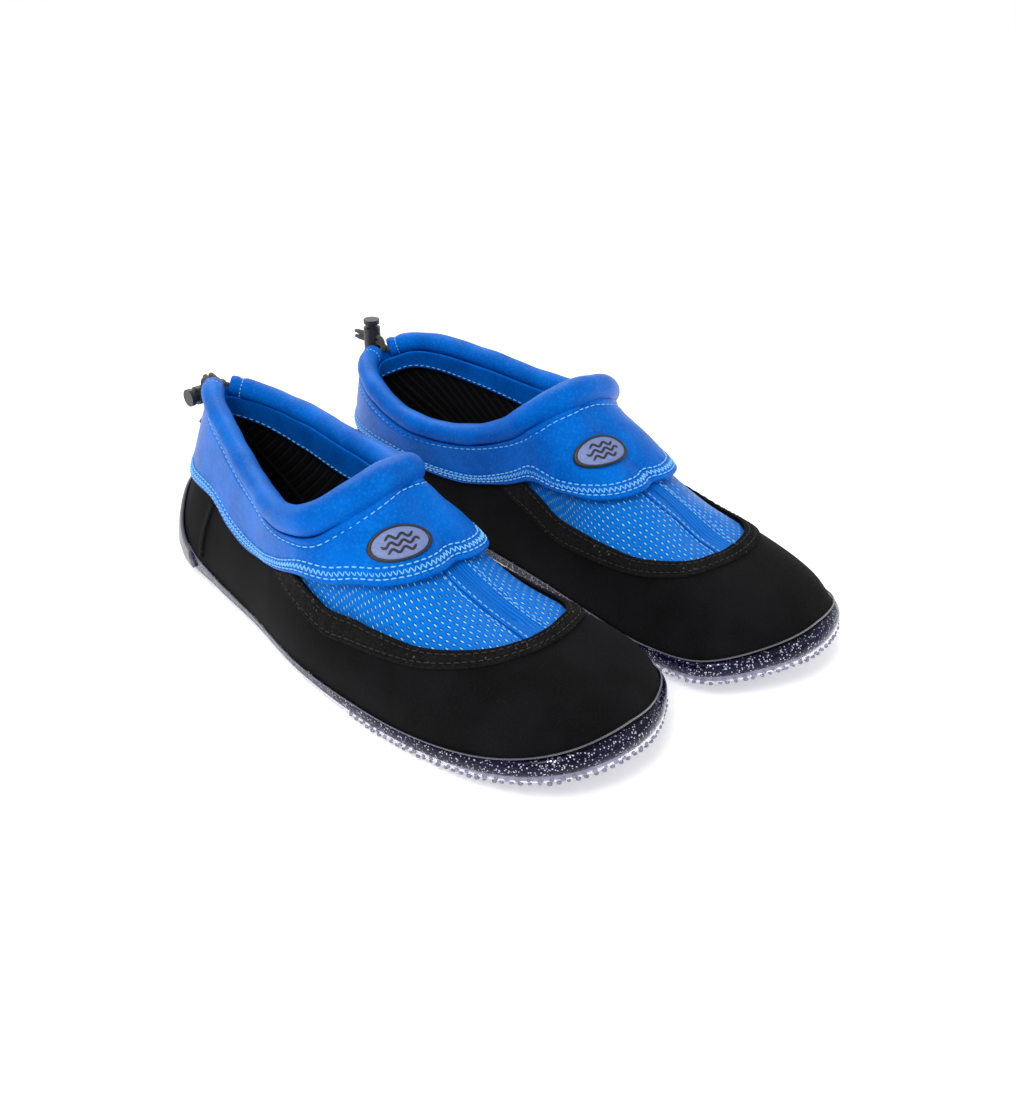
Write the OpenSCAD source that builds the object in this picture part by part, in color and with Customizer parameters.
// Pair of slip-on neoprene water shoes with a drawcord collar, in millimetres.
// Each shoe is drawn in its own frame, x from the heel to the toe, y towards the other foot,
// z up, and is then set down on the ground plane with its toe towards -Y.

/* [Shoes] */
// Length of the outsole
sole_l = 285; // [280:1:290]
// Distance between the two shoe centre lines
pair_gap = 110.6; // [110:0.1:118]
// How far the left shoe stands ahead of the right one
pair_step = 13; // [0:1:20]
// Toe-out angle of each shoe
toe_out = 1.8; // [0:0.1:4]
// Rise of the sole under the toes
toe_spring = 12; // [8:1:14]
// Forward lean of the right heel collar, drawn tight by its cord
right_lean = 21; // [16:1:22]
// Forward lean of the left heel collar
left_lean = -2; // [-3:1:3]
// Drop of the right heel collar
right_drop = -5; // [-6:1:0]
// Drop of the left heel collar
left_drop = 9; // [6:1:10]

/* [Outsole] */
// Thickness of the outsole under the foot
sole_t = 6; // [5.5:0.5:7]
// Wall thickness of the rim band and the heel cup
rim_t = 2; // [1.6:0.1:2.2]
// Thickness of the insole
insole_t = 3.6; // [3:0.2:4.4]

/* [Upper] */
// Neoprene thickness of the body and of the overlay
neoprene_t = 2.5; // [2.2:0.1:2.5]
// Thickness of the lining
lining_t = 1; // [0.8:0.1:1.2]
// Thickness of the mesh insert
mesh_t = 1.1; // [0.9:0.1:1.1]
// Outward bulge of the body just above the sole
puff = 2.5; // [1:0.5:3]
// Width of the centre strip
strip_w = 12.6; // [11:0.2:14]

/* [Collar] */
// Radius of the padded roll at the front
roll_r = 7.2; // [6.6:0.1:7.2]
// Radius of the padded roll at the heel
heel_roll_r = 5.2; // [5:0.1:5.6]
// Radius of the cord channel in the roll
channel_r = 2.6; // [2.4:0.1:3]
// Opening between the two ends of the roll at the heel
roll_gap = 10; // [9:0.5:12]
// Depth of the facing inside the collar
facing_h = 8; // [7:1:12]

/* [Cord lock] */
// Drawcord diameter
cord_d = 2.6; // [2.4:0.1:2.6]
// Outer radius of the barrel
barrel_r = 4.4; // [4.3:0.1:4.5]
// Radius of the plunger shaft
plunger_r = 2.9; // [2.8:0.1:2.9]
// Travel of the plunger
plunger_travel = 2; // [1:0.5:2]
// Length of each cord tail behind the middle of the lock
tail_l = 13; // [11:1:16]

/* [Hidden] */
PIECES = ["outsole", "rim_band", "heel_cup", "strobel_board", "insole", "lining", "seam_tape",
          "vamp", "heel_piping", "mesh_insert", "centre_strip", "window_binding",
          "collar_overlay", "collar_facing", "collar_roll", "badge_rim", "badge_face",
          "drawcord", "lock_barrel", "lock_plunger", "lock_spring", "lock_base"];

RIGHT = 0;
LEFT = 1;
lean = [right_lean, left_lean];
drop = [right_drop, left_drop];
nose = [[-3, -5, -8], [-13, 8, -3]];   // how each collar front lies: forward, inward, up
flank = [[0, 0, 7], [0, 5, -6]];       // how the inner side of each collar lies, likewise
pinch = [[0.42, 0.32], [0, -0.2]];     // share by which each heel collar narrows: outer, inner
badge_side = [-1, 1];          // the badge sits on the outer half right, on the inner half left
fit_gap = 0.3;                 // clearance between curved faces
layer_gap = 0.1;               // clearance between layers that share their facets
sheet_gap = 0.5;               // clearance between layers with different facets

// ---- Guide curves of the last, one value per station or per length ----
// Half widths of the sole around its outline: heel, outer side 1 to 9, toe, inner side 9 to 1.
sole_y = [0, -17, -30, -35, -40, -47.5, -49, -45, -36, -19.5, 6.5,
          30, 52, 52.5, 44.5, 36, 31, 32.5, 29, 17];
// Place on the ridge line that each length along the sole is joined to.
ridge_x = [[0, 38], [60, 76], [140, 137], [200, 180], [250, 208], [285, 222]];
// Height of the ridge line; over the ankle it is above the opening and only shapes the walls.
ridge_z = [[38, 112], [70, 118], [100, 123], [125, 123], [145, 116], [160, 95],
           [172, 74], [186, 57.5], [204, 48.5], [222, 41]];
// Sideways course of the ridge line.
ridge_y = [[38, 1], [70, 1], [100, -1], [125, -5], [145, -6], [155, -1.5], [163, 4],
           [172, 4], [186, 2], [204, 2.5], [222, 5.5]];
// Fullness of the cross section: exponents sideways, outer and inner side, and upward.
full_out = [[38, 2.2], [100, 2.4], [140, 2.5], [163, 1.9], [190, 1.8], [222, 2]];
full_in = [[38, 2.2], [100, 2.1], [140, 1.7], [163, 1.6], [190, 1.7], [222, 2]];
full_z = [[38, 2], [100, 2], [140, 1.5], [155, 1.3], [170, 1.35], [190, 1.5], [222, 1.8]];
// Height of the collar line on the outer and on the inner side.
collar_out = [[38, 77], [45, 80], [54, 79], [75, 74], [105, 67], [130, 67], [148, 75],
              [160, 85], [163.5, 88.5]];
collar_in = [[38, 77], [52, 72], [75, 65], [105, 63], [130, 69], [148, 79], [160, 86],
             [163.5, 88.5]];
// Share of the front's move that a place along the shoe takes.
nose_share = [[90, 0], [110, 0.06], [140, 0.6], [163, 1], [178, 0.5], [195, 0.05], [205, 0]];
front = 5.745;                 // station at which the collar line meets the ridge

// Panel edges, as [station, angle down from the ridge].
window_edge = [[3.9, 48], [4.3, 58], [4.7, 61.5], [5.1, 61], [5.6, 58], [6.3, 50.5],
               [7.15, 40], [8.4, 22.5], [9.3, 15], [10, 13]];
// The overlay's lower edge runs from the heel (0) to the instep (1): its station and its angle.
overlay_i = [[0, 0], [0.25, 1.6], [0.42, 2.8], [0.52, 3.5], [0.6, 4.1], [0.68, 4.75],
             [0.76, 5.4], [0.83, 5.9], [0.89, 6.22], [0.94, 6.45], [0.97, 6.6], [1, 6.68]];
overlay_s = [[0, 70], [0.25, 69], [0.42, 68.5], [0.52, 72], [0.6, 71.5], [0.68, 63.5],
             [0.76, 51], [0.83, 41], [0.89, 31], [0.94, 20.5], [0.97, 11], [1, 0]];
// Height of the rim above the sole's top.
rim_height = [[0, 32], [0.7, 31], [1.4, 26], [2, 15], [2.6, 8], [3.4, 4.5], [5, 3.5], [7, 4],
              [8.5, 5.5], [10, 6.5]];
cup_end = 2.25;                // station at which the heel cup hands over to the rim band

upper_inset = neoprene_t + sheet_gap + rim_t;   // from the sole's edge in to the last
overlay_t0 = neoprene_t + 1.3;                  // the overlay lies on the body and the binding
overlay_t1 = overlay_t0 + 2;

// ---- Interpolation ----
// Smooth value between the knots [x, value] of a list.
function slope(k, i) =
    let (a = max(i - 1, 0), b = min(i + 1, len(k) - 1)) (k[b][1] - k[a][1]) / (k[b][0] - k[a][0]);
function span(k, x, i = 0) = i >= len(k) - 2 || x < k[i + 1][0] ? i : span(k, x, i + 1);
function clamp(x, lo, hi) = min(max(x, lo), hi);
function smooth(k, x) =
    let (c = clamp(x, k[0][0], k[len(k) - 1][0]), i = span(k, c), w = k[i + 1][0] - k[i][0],
         t = (c - k[i][0]) / w)
    k[i][1] * (1 + 2 * t) * pow(1 - t, 2) + slope(k, i) * w * t * pow(1 - t, 2)
    + k[i + 1][1] * t * t * (3 - 2 * t) + slope(k, i + 1) * w * t * t * (t - 1);
// Smooth value around a closed list.
function around(v, t) =
    let (n = len(v), i = floor(t), f = t - i, a = v[(i - 1 + 2 * n) % n], b = v[(i + 2 * n) % n],
         c = v[(i + 1 + 2 * n) % n], d = v[(i + 2 + 2 * n) % n])
    0.5 * (2 * b + (c - a) * f + (2 * a - 5 * b + 4 * c - d) * f * f
           + (3 * b - a - 3 * c + d) * pow(f, 3));

// ---- Surface of the last ----
// u runs around the outline: 0 heel, 10 toe, 20 heel again; psi is 90 at the sole, 0 on the ridge.
function sole_x(u) = sole_l / 2 * (1 - cos(18 * u));
function spring_z(x) = toe_spring * pow(max(0, (x - 195) / 90), 2);
function outline(u) = [sole_x(u), around(sole_y, u)];
function outline_out(u) =
    let (d = outline(u + 0.05) - outline(u - 0.05)) [d[1], -d[0]] / norm(d);
function foot(u, inset) = outline(u) - inset * outline_out(u);
function ridge(u) =
    let (x = smooth(ridge_x, sole_x(u))) [x, smooth(ridge_y, x), smooth(ridge_z, x)];
function base_z(u) = sole_t + spring_z(sole_x(u));
function fullness(u, x) = smooth(u % 20 <= 10 ? full_out : full_in, x);
function last_point(u, psi) =
    let (b = foot(u, upper_inset), r = ridge(u), z0 = base_z(u),
         f = pow(abs(sin(psi)), 2 / fullness(u, r[0])),
         rise = (r[2] - z0) * pow(abs(cos(psi)), 2 / smooth(full_z, r[0])),
         bulge = puff * sin(180 * min(1, rise / 40)),
         out = (b - [r[0], r[1]]) / norm(b - [r[0], r[1]]),
         p = [r[0], r[1]] + (b - [r[0], r[1]]) * f + out * bulge * f)
    [p[0], p[1], z0 + rise];
// Across the ridge the section goes on down the other side.
function across(u, psi) = psi < 0 ? last_point(20 - u, -psi) : last_point(u, min(psi, 90));
// The ridge ends in the toe section, so the normal there is taken a little way down. Near the
// ridge it is taken over a wider step, which evens out the crease between the two sides.
function last_normal(u, psi) =
    let (q = abs(u - 10) < 0.1 ? max(psi, 2) : psi,
         step = max(1.5, min(0.9 * (20 - abs(q)), 8 * abs(u - 10))),
         n = cross(across(u, q + step) - across(u, q - step),
                   across(u + 0.04, q) - across(u - 0.04, q)))
    n / norm(n);
// The heel of the collar leans forward by $lean and sinks by $drop, growing with the height,
// and narrows by $pinch. Its inner side is moved by $flank between the heel and the instep.
// Its front is moved by $nose, dying away towards the ankle, the toe and the sole.
function leaned(p) =
    let (f = pow(clamp(1 - p[0] / 130, 0, 1), 2) * pow(clamp((p[2] - 12) / 75, 0, 2), 1.1),
         g = smooth(nose_share, p[0]) * pow(clamp((p[2] - 20) / 60, 0, 1), 1.5),
         h = clamp(1 - p[0] / 120, 0, 1) * clamp((p[2] - 12) / 65, 0, 1.4),
         m = pow(sin(180 * clamp((p[0] - 5) / 145, 0, 1)), 2) * clamp(p[1] / 12, 0, 1)
             * clamp((p[2] - 25) / 40, 0, 1),
         q = p + m * $flank)
    [q[0], q[1] * (1 - h * $pinch[q[1] < 0 ? 0 : 1]), q[2]] + f * [$lean, 0, -$drop] + g * $nose;
// Point at a distance t outside the last, never below the top of the sole.
function at(u, psi, t) =
    let (p = across(u, psi) + t * last_normal(u, psi))
    leaned([p[0], p[1], max(p[2], base_z(u))]);
// Signed form: station 0 to 10 and an angle that is negative on the outer side.
function at_s(c, t) = c[1] <= 0 ? at(c[0], -c[1], t) : at(20 - c[0], c[1], t);

// Length of the section from the ridge down to psi, and the angle at a given length.
function arc(u, psi, n = 6) =
    let (p = [for (k = [0:n]) last_point(u, psi * k / n)],
         d = [for (k = [1:n]) norm(p[k] - p[k - 1])])
    d * [for (k = [1:n]) 1];
function psi_at(u, length, lo = 0, hi = 90, n = 12) =
    let (mid = (lo + hi) / 2)
    n == 0 ? mid
    : arc(u, mid) < length ? psi_at(u, length, mid, hi, n - 1)
    : psi_at(u, length, lo, mid, n - 1);
// The same with a length that may be negative, across the ridge.
function signed_psi(u, length) = length < 0 ? -psi_at(20 - u, -length) : psi_at(u, length);

function station(u) = u <= 10 ? u : 20 - u;
function collar_psi(u) =
    let (r = ridge(u), z0 = base_z(u), x = min(r[0], 163.5),
         z = u <= 10 ? smooth(collar_out, x) : smooth(collar_in, x))
    station(u) >= front ? 0
    : acos(pow(clamp((z - z0) / (r[2] - z0), 0, 1), smooth(full_z, r[0]) / 2));
function rim_psi(u) =
    let (r = ridge(u), z0 = base_z(u))
    acos(pow(smooth(rim_height, station(u)) / (r[2] - z0), smooth(full_z, r[0]) / 2));

// ---- Column positions around the shoe ----
n_back = 13;                   // columns from the heel to the collar front
n_toe = 13;                    // columns from there to the toe
half_u = [for (k = [0:n_back]) front * sin(90 * k / n_back),
          for (k = [1:n_toe]) front + (10 - front) * k / n_toe];
loop_u = concat(half_u, [for (k = [len(half_u) - 2:-1:1]) 20 - half_u[k]]);
n_loop = len(loop_u);

// ---- Sheets: closed solids between two offsets of the last ----
// grid[side][column][row]; side 0 is the outer face. A wrapped sheet closes on itself; with
// weld >= 0, the last row of columns weld and above is shared with the mirrored column.
module sheet(grid, wrap, weld = -1) {
    n = len(grid[0]);
    m = len(grid[0][0]);
    cols = wrap ? n : n - 1;
    mirror_k = wrap ? n : n - 1;
    function welded(k) = weld >= 0 && min(k % n, mirror_k - k % n) >= weld;
    function id(s, k, j) =
        let (c = k % n, d = j == m - 1 && welded(c) && c > mirror_k / 2 ? mirror_k - c : c)
        (s * n + d) * m + j;
    function quad(a, b, c, d) = [[a, b, c], [a, c, d]];
    faces = [
        for (k = [0:cols - 1]) for (j = [0:m - 2])
            for (f = quad(id(0, k, j), id(0, k, j + 1), id(0, k + 1, j + 1), id(0, k + 1, j))) f,
        for (k = [0:cols - 1]) for (j = [0:m - 2])
            for (f = quad(id(1, k, j), id(1, k + 1, j), id(1, k + 1, j + 1), id(1, k, j + 1))) f,
        for (k = [0:cols - 1])
            for (f = quad(id(0, k, 0), id(0, k + 1, 0), id(1, k + 1, 0), id(1, k, 0))) f,
        for (k = [0:cols - 1]) if (!(welded(k) && welded(k + 1)))
            for (f = quad(id(0, k + 1, m - 1), id(0, k, m - 1), id(1, k, m - 1),
                          id(1, k + 1, m - 1))) f,
        if (!wrap) for (j = [0:m - 2])
            for (f = quad(id(0, 0, j + 1), id(0, 0, j), id(1, 0, j), id(1, 0, j + 1))) f,
        if (!wrap) for (j = [0:m - 2])
            for (f = quad(id(0, n - 1, j), id(0, n - 1, j + 1), id(1, n - 1, j + 1),
                          id(1, n - 1, j))) f];
    polyhedron([for (side = grid) for (column = side) for (p = column) p], faces);
}

// Panel between the angles lo(u) and hi(u), over the columns us.
module panel(us, lo, hi, t0, t1, rows, wrap, weld = -1)
    sheet([for (t = [t1, t0]) [for (u = us) [for (j = [0:rows])
              at(u, lo(u) + (hi(u) - lo(u)) * j / rows, t)]]], wrap, weld);

// Ring around the opening between two rings of signed points, outer edge first.
module ring_panel(lower, upper, t0, t1, rows)
    sheet([for (t = [t1, t0]) [for (k = [0:len(lower) - 1]) [for (j = [0:rows])
              at_s(lower[k] + (upper[k] - lower[k]) * j / rows, t)]]], true);

// Sweep of a round section along points; r is one radius or one for each point, and bore > 0
// leaves a channel through it.
function tangent(path, i) =
    let (d = path[min(i + 1, len(path) - 1)] - path[max(i - 1, 0)]) d / norm(d);
function turn(v, t) = let (w = v - (v * t) * t) w / norm(w);
function frames(path, i, v) =
    i >= len(path) ? [] : let (w = turn(v, tangent(path, i))) concat([w], frames(path, i + 1, w));
module sweep(path, r, sides, up, bore = 0) {
    side_v = frames(path, 0, up);
    n = len(path);
    ring = [for (i = [0:n - 1]) let (t = tangent(path, i), v = side_v[i], w = cross(t, v))
            [for (a = [0:sides - 1]) cos(360 * a / sides) * v + sin(360 * a / sides) * w]];
    pts = concat([for (i = [0:n - 1]) for (d = ring[i]) path[i] + (is_num(r) ? r : r[i]) * d],
                 bore > 0 ? [for (i = [0:n - 1]) for (d = ring[i]) path[i] + bore * d] : []);
    function id(s, i, a) = (s * n + i) * sides + a % sides;
    function quad(a, b, c, d) = [[a, b, c], [a, c, d]];
    skin = [for (i = [0:n - 2]) for (a = [0:sides - 1])
            for (f = quad(id(0, i, a), id(0, i + 1, a), id(0, i + 1, a + 1), id(0, i, a + 1))) f];
    core = [for (i = [0:n - 2]) for (a = [0:sides - 1])
            for (f = quad(id(1, i, a), id(1, i, a + 1), id(1, i + 1, a + 1), id(1, i + 1, a))) f];
    ends = bore > 0
        ? [for (a = [0:sides - 1]) for (f = concat(
               quad(id(0, 0, a), id(0, 0, a + 1), id(1, 0, a + 1), id(1, 0, a)),
               quad(id(0, n - 1, a + 1), id(0, n - 1, a), id(1, n - 1, a), id(1, n - 1, a + 1)))) f]
        : [[for (a = [0:sides - 1]) id(0, 0, a)], [for (a = [sides - 1:-1:0]) id(0, n - 1, a)]];
    polyhedron(pts, concat(skin, bore > 0 ? core : [], ends));
}

// Slab under the foot between two heights, from plan rings [inset, height above the ground].
module slab(rings) {
    n = n_loop;
    pts = [for (r = rings) for (u = loop_u)
           let (p = foot(u, r[0])) [p[0], p[1], r[1] + spring_z(sole_x(u))]];
    m = len(rings);
    function id(r, k) = r * n + k % n;
    walls = [for (r = [0:m - 2]) for (k = [0:n - 1])
             for (f = [[id(r, k), id(r + 1, k), id(r + 1, k + 1)],
                       [id(r, k), id(r + 1, k + 1), id(r, k + 1)]]) f];
    // The caps run straight across, from each outer column to its inner mirror.
    half = n / 2;
    cap = concat([[0, 1, n - 1]],
                 [for (k = [1:half - 1]) [k, k + 1, n - k]],
                 [for (k = [1:half - 2]) [n - k, k + 1, n - k - 1]]);
    caps = [for (f = cap) f, for (f = cap) (m - 1) * n * [1, 1, 1] + [f[2], f[1], f[0]]];
    polyhedron(pts, concat(walls, caps));
}

// ---- Collar line and the cord route ----
n_collar = 44;                 // columns around the opening
function collar_station(k) =
    let (a = 360 * k / n_collar, s = a <= 180 ? a / 180 : 2 - a / 180) front * sin(90 * s);
function collar_sign(k) = k * 2 <= n_collar ? -1 : 1;
function collar_uv(k) =
    let (i = collar_station(k), s = collar_sign(k))
    [i, s * collar_psi(s < 0 ? i : 20 - i)];
// Share of the way from the heel (0) to the instep (1), and the roll's radius there.
function collar_share(k) = 1 - abs(1 - 2 * ((k + n_collar) % n_collar) / n_collar);
function roll_radius(k) =
    let (f = clamp((collar_share(k) - 0.45) / 0.4, 0, 1))
    heel_roll_r + (roll_r - heel_roll_r) * f * f * (3 - 2 * f);
// Centre of the roll: off the edge of the sheets, in the direction that leaves the opening edge.
function collar_edge(k) = at_s(collar_uv((k + n_collar) % n_collar), neoprene_t);
function roll_centre(k) =
    let (c = collar_uv((k + n_collar) % n_collar), e = collar_edge(k),
         along = collar_edge(k + 0.25) - collar_edge(k - 0.25),
         n = c[1] <= 0 ? last_normal(c[0], -c[1]) : last_normal(20 - c[0], c[1]),
         up = cross(n, along))
    e + (roll_radius(k) + fit_gap) * up / norm(up);
function collar_length(k) = norm(roll_centre(k + 1) - roll_centre(k));

// ---- The two shoes on the ground ----
module shoe(side) {
    $lean = lean[side];
    $drop = drop[side];
    $nose = nose[side];
    $flank = flank[side];
    $pinch = pinch[side];
    $badge = badge_side[side];
    $lock = side;
    away = side == RIGHT ? -1 : 1;
    translate([away * pair_gap / 2, -away * pair_step / 2, 0])
        rotate([0, 0, away * toe_out])
            mirror([side == RIGHT ? 0 : 1, 0, 0])
                rotate([0, 0, -90]) translate([-sole_l / 2, 0, 0]) children();
}

// ---- Cord lock and drawcord route ----
strand_gap = 0.3;                                  // between the two strands in the lock
strand_at = (cord_d + strand_gap) / 2;             // strand centre from the middle of the lock
slot_half = strand_at + cord_d / 2 + fit_gap;      // half height of the cord slot
slot_w = cord_d + 0.5;                             // width of the cord slot
barrel_top = slot_half + 3.3;
barrel_bottom = -slot_half - 6.5;
floor_t = 1.4;                                     // thickness of the base cap
web_t = 1.1;                                       // plunger below its slot
head_t = 2.2;                                      // thickness of the plunger's head
plunger_bottom = -slot_half - web_t;
head_bottom = barrel_top + plunger_travel + 0.1;
lock_offset = [[-14.5, 1.5, -7.5], [-6, 0, 5.5]];     // from the middle of the roll's gap
lock_turn = [[90, 0, 90], [0, 0, 0]];              // the right lock lies across the heel

function lock_centre() = roll_centre(0) + lock_offset[$lock];
module lock_frame() translate(lock_centre())
    rotate([lock_turn[$lock][0], 0, 0]) rotate([0, 0, lock_turn[$lock][2]]) children();

// Strand from its tail through the lock to the gap in the roll; s is -1 on the outer side.
function strand(s) =
    let (c = roll_centre(0), p = lock_centre())
    $lock == RIGHT
        ? let (y = p[1] + s * strand_at)
          [[p[0] - 1, y - 4, p[2] - tail_l - 1.5], [p[0], y - 0.8, p[2] - 11.8],
           [p[0], y, p[2] - 10.6], [p[0], y, p[2] - 5], [p[0], y, p[2]], [p[0], y, p[2] + 6],
           [p[0] + 3, y + 0.2, c[2] + 1], [c[0] - 10, c[1] + s * 1.6 + 0.6, c[2] + 2.4],
           [c[0] - 4, c[1] + s * 1.8, c[2] + 1.6], [c[0] - 0.8, c[1] + s * 3, c[2] + 0.4]]
        : let (z = p[2] + s * strand_at)
          [[p[0] - tail_l, p[1], z], [p[0] - 6, p[1], z], [p[0], p[1], z],
           [p[0] + 6.5, p[1], z], [c[0] + 4, c[1] + s * 1.6, c[2] + 2.4 + s],
           [c[0] + 3, c[1] + s * 2.4, c[2] + 1.6], [c[0] + 0.8, c[1] + s * 3.3, c[2] + 0.3]];
// Open smooth curve through points, n steps between each two.
function curve(p, n) =
    let (m = len(p))
    [for (i = [0:m - 2]) for (k = [0:n - 1])
        let (t = k / n, a = i > 0 ? p[i - 1] : 2 * p[0] - p[1], b = p[i], c = p[i + 1],
             d = i < m - 2 ? p[i + 2] : 2 * p[m - 1] - p[m - 2])
        0.5 * (2 * b + (c - a) * t + (2 * a - 5 * b + 4 * c - d) * t * t
               + (3 * b - a - 3 * c + d) * pow(t, 3)),
     p[m - 1]];
function reversed(p) = [for (i = [len(p) - 1:-1:0]) p[i]];
function roll_start() = roll_gap / 2 / collar_length(0);
function roll_stops() =
    let (s = roll_start(), k0 = ceil(s + 0.3)) [s, for (k = [k0:n_collar - k0]) k, n_collar - s];
function roll_path() = [for (k = roll_stops()) roll_centre(k)];
function cord_path() = concat(curve(strand(-1), 2), roll_path(), reversed(curve(strand(1), 2)));

// ---- Sub-parts ----
rim_t0 = neoprene_t + sheet_gap;                   // the rim stands just off the body
lining_t0 = -sheet_gap - lining_t;                 // inner face of the lining
trim_t0 = lining_t0 - sheet_gap;                   // outer face of what is sewn inside the lining
board_in = upper_inset - lining_t0 + 0.5;          // plan inset of the board under the foot

module outsole() color([0.75, 0.76, 0.84])
    slab([[5, 0], [1.5, 0.8], [0, 3], [0, sole_t - fit_gap]]);

module rim_band() color([0.07, 0.07, 0.2])
    panel([for (u = loop_u) if (station(u) > cup_end + 0.1) u],
          function (u) 90, function (u) rim_psi(u), rim_t0, rim_t0 + rim_t, 2, false);

module heel_cup() color([0.55, 0.56, 0.62])
    panel([for (k = [-4:4]) (20 + cup_end * k / 4) % 20],
          function (u) 90, function (u) rim_psi(u), rim_t0, rim_t0 + rim_t, 5, false);

module strobel_board() color([0.2, 0.2, 0.2])
    slab([[board_in, sole_t + 0.1], [board_in, sole_t + 1.1]]);

module insole() color([0.08, 0.08, 0.09])
    slab([[board_in + 0.6, sole_t + 1.3], [board_in + 0.6, sole_t + 1.3 + insole_t]]);

module lining() color([0.06, 0.06, 0.07])
    panel(loop_u, function (u) 90, function (u) collar_psi(u), lining_t0, -sheet_gap, 7, true,
          n_back);

module seam_tape() color([0.1, 0.1, 0.11])
    for (side = [-1, 1])
        sheet([for (t = [trim_t0 - 0.2, trim_t0 - 1])
               [for (d = [-0.06, 0.06]) [for (j = [0:8])
                   at_s([1.1 + 1.9 * j / 8 + d * side, side * (60 + 24 * j / 8)], t)]]], false);

module vamp() color([0.03, 0.03, 0.035])
    panel(loop_u, function (u) 90,
          function (u) max(collar_psi(u), smooth(window_edge, station(u))),
          layer_gap, neoprene_t, 6, true);

module heel_piping() color([0.05, 0.05, 0.06])
    for (side = [-1, 1])
        sheet([for (t = [neoprene_t + 1.6, neoprene_t + fit_gap])
               [for (d = [0.05, -0.05]) [for (j = [0:5])
                   at_s([2.72 + 0.02 * j + d * side, side * (84.5 - 14 * j / 5)], t)]]], false);

mesh_back = 4.5;                                   // the mesh ends here, under the overlay
mesh_first = len([for (u = half_u) if (u <= mesh_back) u]);
module mesh_insert() color([0.05, 0.25, 0.75])
    panel([for (u = loop_u) if (station(u) > mesh_back) u],
          function (u) smooth(window_edge, station(u)) - 1, function (u) collar_psi(u),
          layer_gap, mesh_t, 4, false, n_back - mesh_first);

// Around the toe the section runs ever more along the strip, so its half width grows.
function strip_psi(u) =
    let (b = foot(u, upper_inset), r = ridge(u), side = abs(b[1] - r[1]) / norm(b - [r[0], r[1]]))
    min(smooth(window_edge, station(u)) - 0.5, psi_at(u, strip_w / 2 / max(side, 0.05)));
module centre_strip() color([0.03, 0.22, 0.7])
    panel([for (u = loop_u) if (station(u) > 6.3) u],
          function (u) strip_psi(u), function (u) 0, mesh_t + fit_gap, mesh_t + 1, 2, false, 0);

module window_binding() color([0.04, 0.04, 0.04])
    panel([for (u = loop_u) if (station(u) > mesh_back) u],
          function (u) smooth(window_edge, station(u)) + 5.5,
          function (u) smooth(window_edge, station(u)) - 2,
          neoprene_t + 0.4, neoprene_t + 0.9, 2, false);

function collar_ring() = [for (k = [0:n_collar - 1]) collar_uv(k)];
module collar_overlay() color([0.02, 0.35, 0.9])
    ring_panel([for (k = [0:n_collar - 1])
                let (a = collar_share(k))
                [smooth(overlay_i, a), collar_sign(k) * smooth(overlay_s, a)]],
               collar_ring(), overlay_t0, overlay_t1, 5);

module collar_facing() color([0.03, 0.3, 0.8])
    ring_panel([for (k = [0:n_collar - 1])
                let (a = collar_share(k), c = collar_uv(k))
                c + facing_h * [0.026 * pow(a, 8), collar_sign(k) * 0.7 * (1 - pow(a, 8))]],
               collar_ring(), trim_t0 - 1.7, trim_t0 - 0.5, 3);

module collar_roll() color([0.02, 0.35, 0.9])
    sweep(roll_path(), [for (k = roll_stops()) roll_radius(k)], 12, [0, 0, 1], channel_r);

badge_a = 14;                                      // half length, across the instep
badge_b = 8.5;                                     // half width, along the instep
badge_i = 5.97;                                    // station of its middle
badge_d = [20, 10];                                // its middle, down from the ridge
badge_skew = 0.015;                                // stations gained for each mm nearer the ridge
badge_turn = 0.04;                                 // stations lost for each mm beyond the ridge
// Point of the badge, a mm away from the ridge and b mm towards the toe.
function badge_point(a, b, t) =
    let (d = badge_d[$lock] + a, i = badge_i - badge_skew * a - badge_turn * max(0, -d),
         mm = norm(at(i + 0.1, 20, 0) - at(i - 0.1, 20, 0)) / 0.2,
         c = i + b / mm, u = $badge < 0 ? c : 20 - c)
    at(u, signed_psi(u, d), t);
module badge_rim() color([0.05, 0.05, 0.06])
    sheet([for (t = [overlay_t1 + 1.9, overlay_t1 + fit_gap])
           [for (k = [0:23]) [for (f = [1, 0.84])
               let (g = f < 1 ? badge_a - 2 : badge_a, h = f < 1 ? badge_b - 2 : badge_b)
               badge_point(g * cos(15 * k), -$badge * h * sin(15 * k), t)]]], true);
module badge_face() color([0.45, 0.5, 0.75])
    sheet([for (t = [overlay_t1 + 1.3, overlay_t1 + fit_gap])
           [for (k = [-4:4]) [for (j = [-2:2])
               let (a = sin(19.5 * k), b = sqrt(1 - a * a) * j / 2)
               badge_point((badge_a - 3) * a, -$badge * (badge_b - 2.9) * b, t)]]], false);

module drawcord() color([0.05, 0.05, 0.05])
    sweep(cord_path(), cord_d / 2, 8, [0, 1, 0.2]);

module lock_barrel() color([0.12, 0.12, 0.13])
    lock_frame() difference() {
        translate([0, 0, barrel_bottom])
            cylinder(r = barrel_r, h = barrel_top - barrel_bottom, $fn = 48);
        translate([0, 0, barrel_bottom - 1])
            cylinder(r = plunger_r + layer_gap, h = barrel_top - barrel_bottom + 2, $fn = 48);
        cube([3 * barrel_r, slot_w, 2 * slot_half], center = true);
    }

module lock_plunger() color([0.15, 0.15, 0.16])
    lock_frame() difference() {
        union() {
            translate([0, 0, plunger_bottom])
                cylinder(r = plunger_r, h = head_bottom - plunger_bottom + 0.5, $fn = 48);
            translate([0, 0, head_bottom]) cylinder(r = barrel_r - 0.2, h = head_t, $fn = 48);
        }
        translate([-barrel_r, -slot_w / 2, -slot_half])
            cube([2 * barrel_r, slot_w, 2 * slot_half + plunger_travel]);
    }

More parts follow.
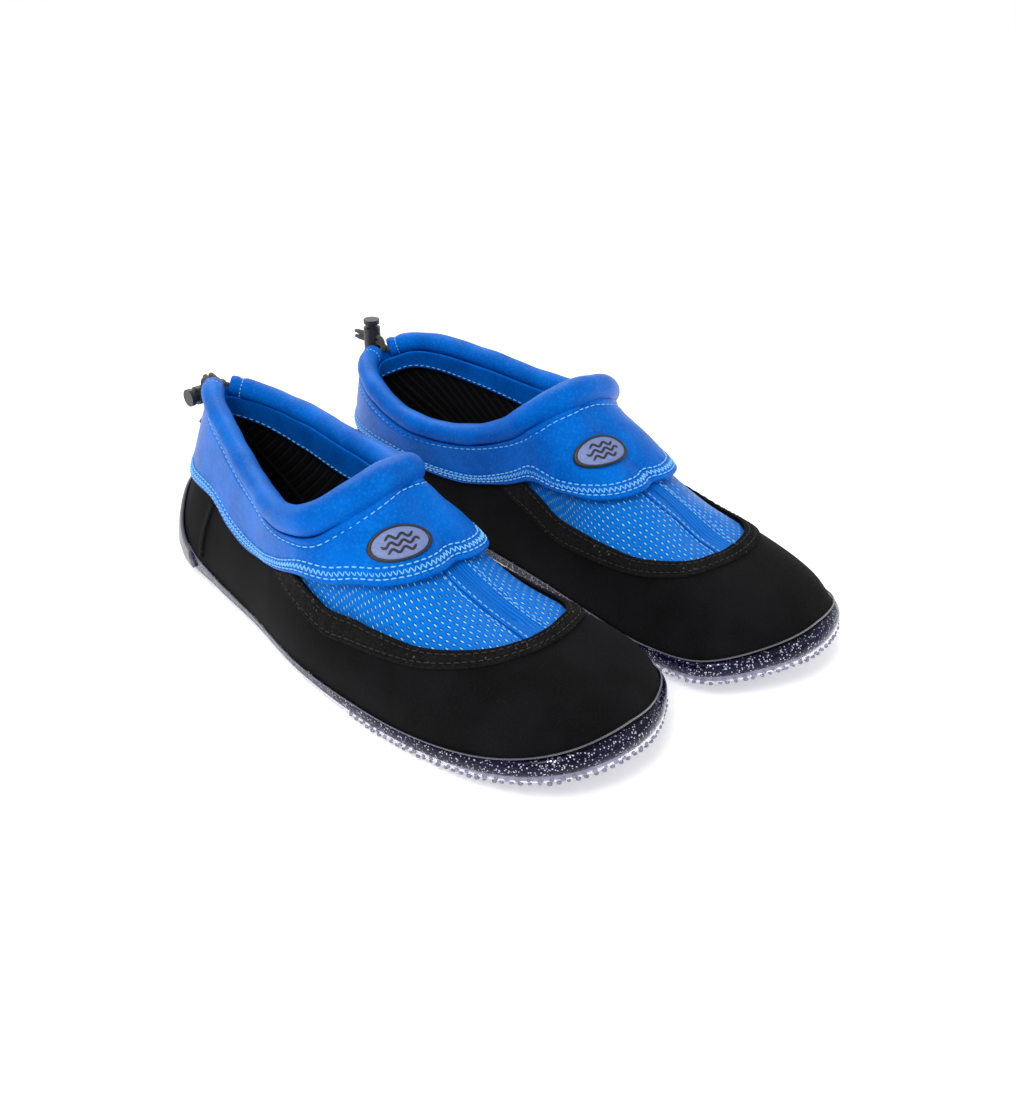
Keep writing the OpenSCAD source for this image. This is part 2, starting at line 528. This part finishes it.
spring_turns = 3;
spring_r = 2;
spring_wire = 0.35;
module lock_spring() color([0.7, 0.7, 0.72])
    lock_frame()
        let (z0 = barrel_bottom + floor_t + spring_wire + layer_gap,
             z1 = plunger_bottom - spring_wire - layer_gap)
        sweep([for (k = [0:10 * spring_turns])
                   [spring_r * cos(36 * k), spring_r * sin(36 * k),
                    z0 + (z1 - z0) * k / (10 * spring_turns)]],
              spring_wire, 6, [0, 0, 1]);

module lock_base() color([0.12, 0.12, 0.13])
    lock_frame() translate([0, 0, barrel_bottom])
        cylinder(r = plunger_r + layer_gap - 0.02, h = floor_t, $fn = 48);

shoe(RIGHT) outsole();  // right_outsole
shoe(RIGHT) rim_band();  // right_rim_band
shoe(RIGHT) heel_cup();  // right_heel_cup
shoe(RIGHT) strobel_board();  // right_strobel_board
shoe(RIGHT) insole();  // right_insole
shoe(RIGHT) lining();  // right_lining
shoe(RIGHT) seam_tape();  // right_seam_tape
shoe(RIGHT) vamp();  // right_vamp
shoe(RIGHT) heel_piping();  // right_heel_piping
shoe(RIGHT) mesh_insert();  // right_mesh_insert
shoe(RIGHT) centre_strip();  // right_centre_strip
shoe(RIGHT) window_binding();  // right_window_binding
shoe(RIGHT) collar_overlay();  // right_collar_overlay
shoe(RIGHT) collar_facing();  // right_collar_facing
shoe(RIGHT) collar_roll();  // right_collar_roll
shoe(RIGHT) badge_rim();  // right_badge_rim
shoe(RIGHT) badge_face();  // right_badge_face
shoe(RIGHT) drawcord();  // right_drawcord
shoe(RIGHT) lock_barrel();  // right_lock_barrel
shoe(RIGHT) lock_plunger();  // right_lock_plunger
shoe(RIGHT) lock_spring();  // right_lock_spring
shoe(RIGHT) lock_base();  // right_lock_base
shoe(LEFT) outsole();  // left_outsole
shoe(LEFT) rim_band();  // left_rim_band
shoe(LEFT) heel_cup();  // left_heel_cup
shoe(LEFT) strobel_board();  // left_strobel_board
shoe(LEFT) insole();  // left_insole
shoe(LEFT) lining();  // left_lining
shoe(LEFT) seam_tape();  // left_seam_tape
shoe(LEFT) vamp();  // left_vamp
shoe(LEFT) heel_piping();  // left_heel_piping
shoe(LEFT) mesh_insert();  // left_mesh_insert
shoe(LEFT) centre_strip();  // left_centre_strip
shoe(LEFT) window_binding();  // left_window_binding
shoe(LEFT) collar_overlay();  // left_collar_overlay
shoe(LEFT) collar_facing();  // left_collar_facing
shoe(LEFT) collar_roll();  // left_collar_roll
shoe(LEFT) badge_rim();  // left_badge_rim
shoe(LEFT) badge_face();  // left_badge_face
shoe(LEFT) drawcord();  // left_drawcord
shoe(LEFT) lock_barrel();  // left_lock_barrel
shoe(LEFT) lock_plunger();  // left_lock_plunger
shoe(LEFT) lock_spring();  // left_lock_spring
shoe(LEFT) lock_base();  // left_lock_base
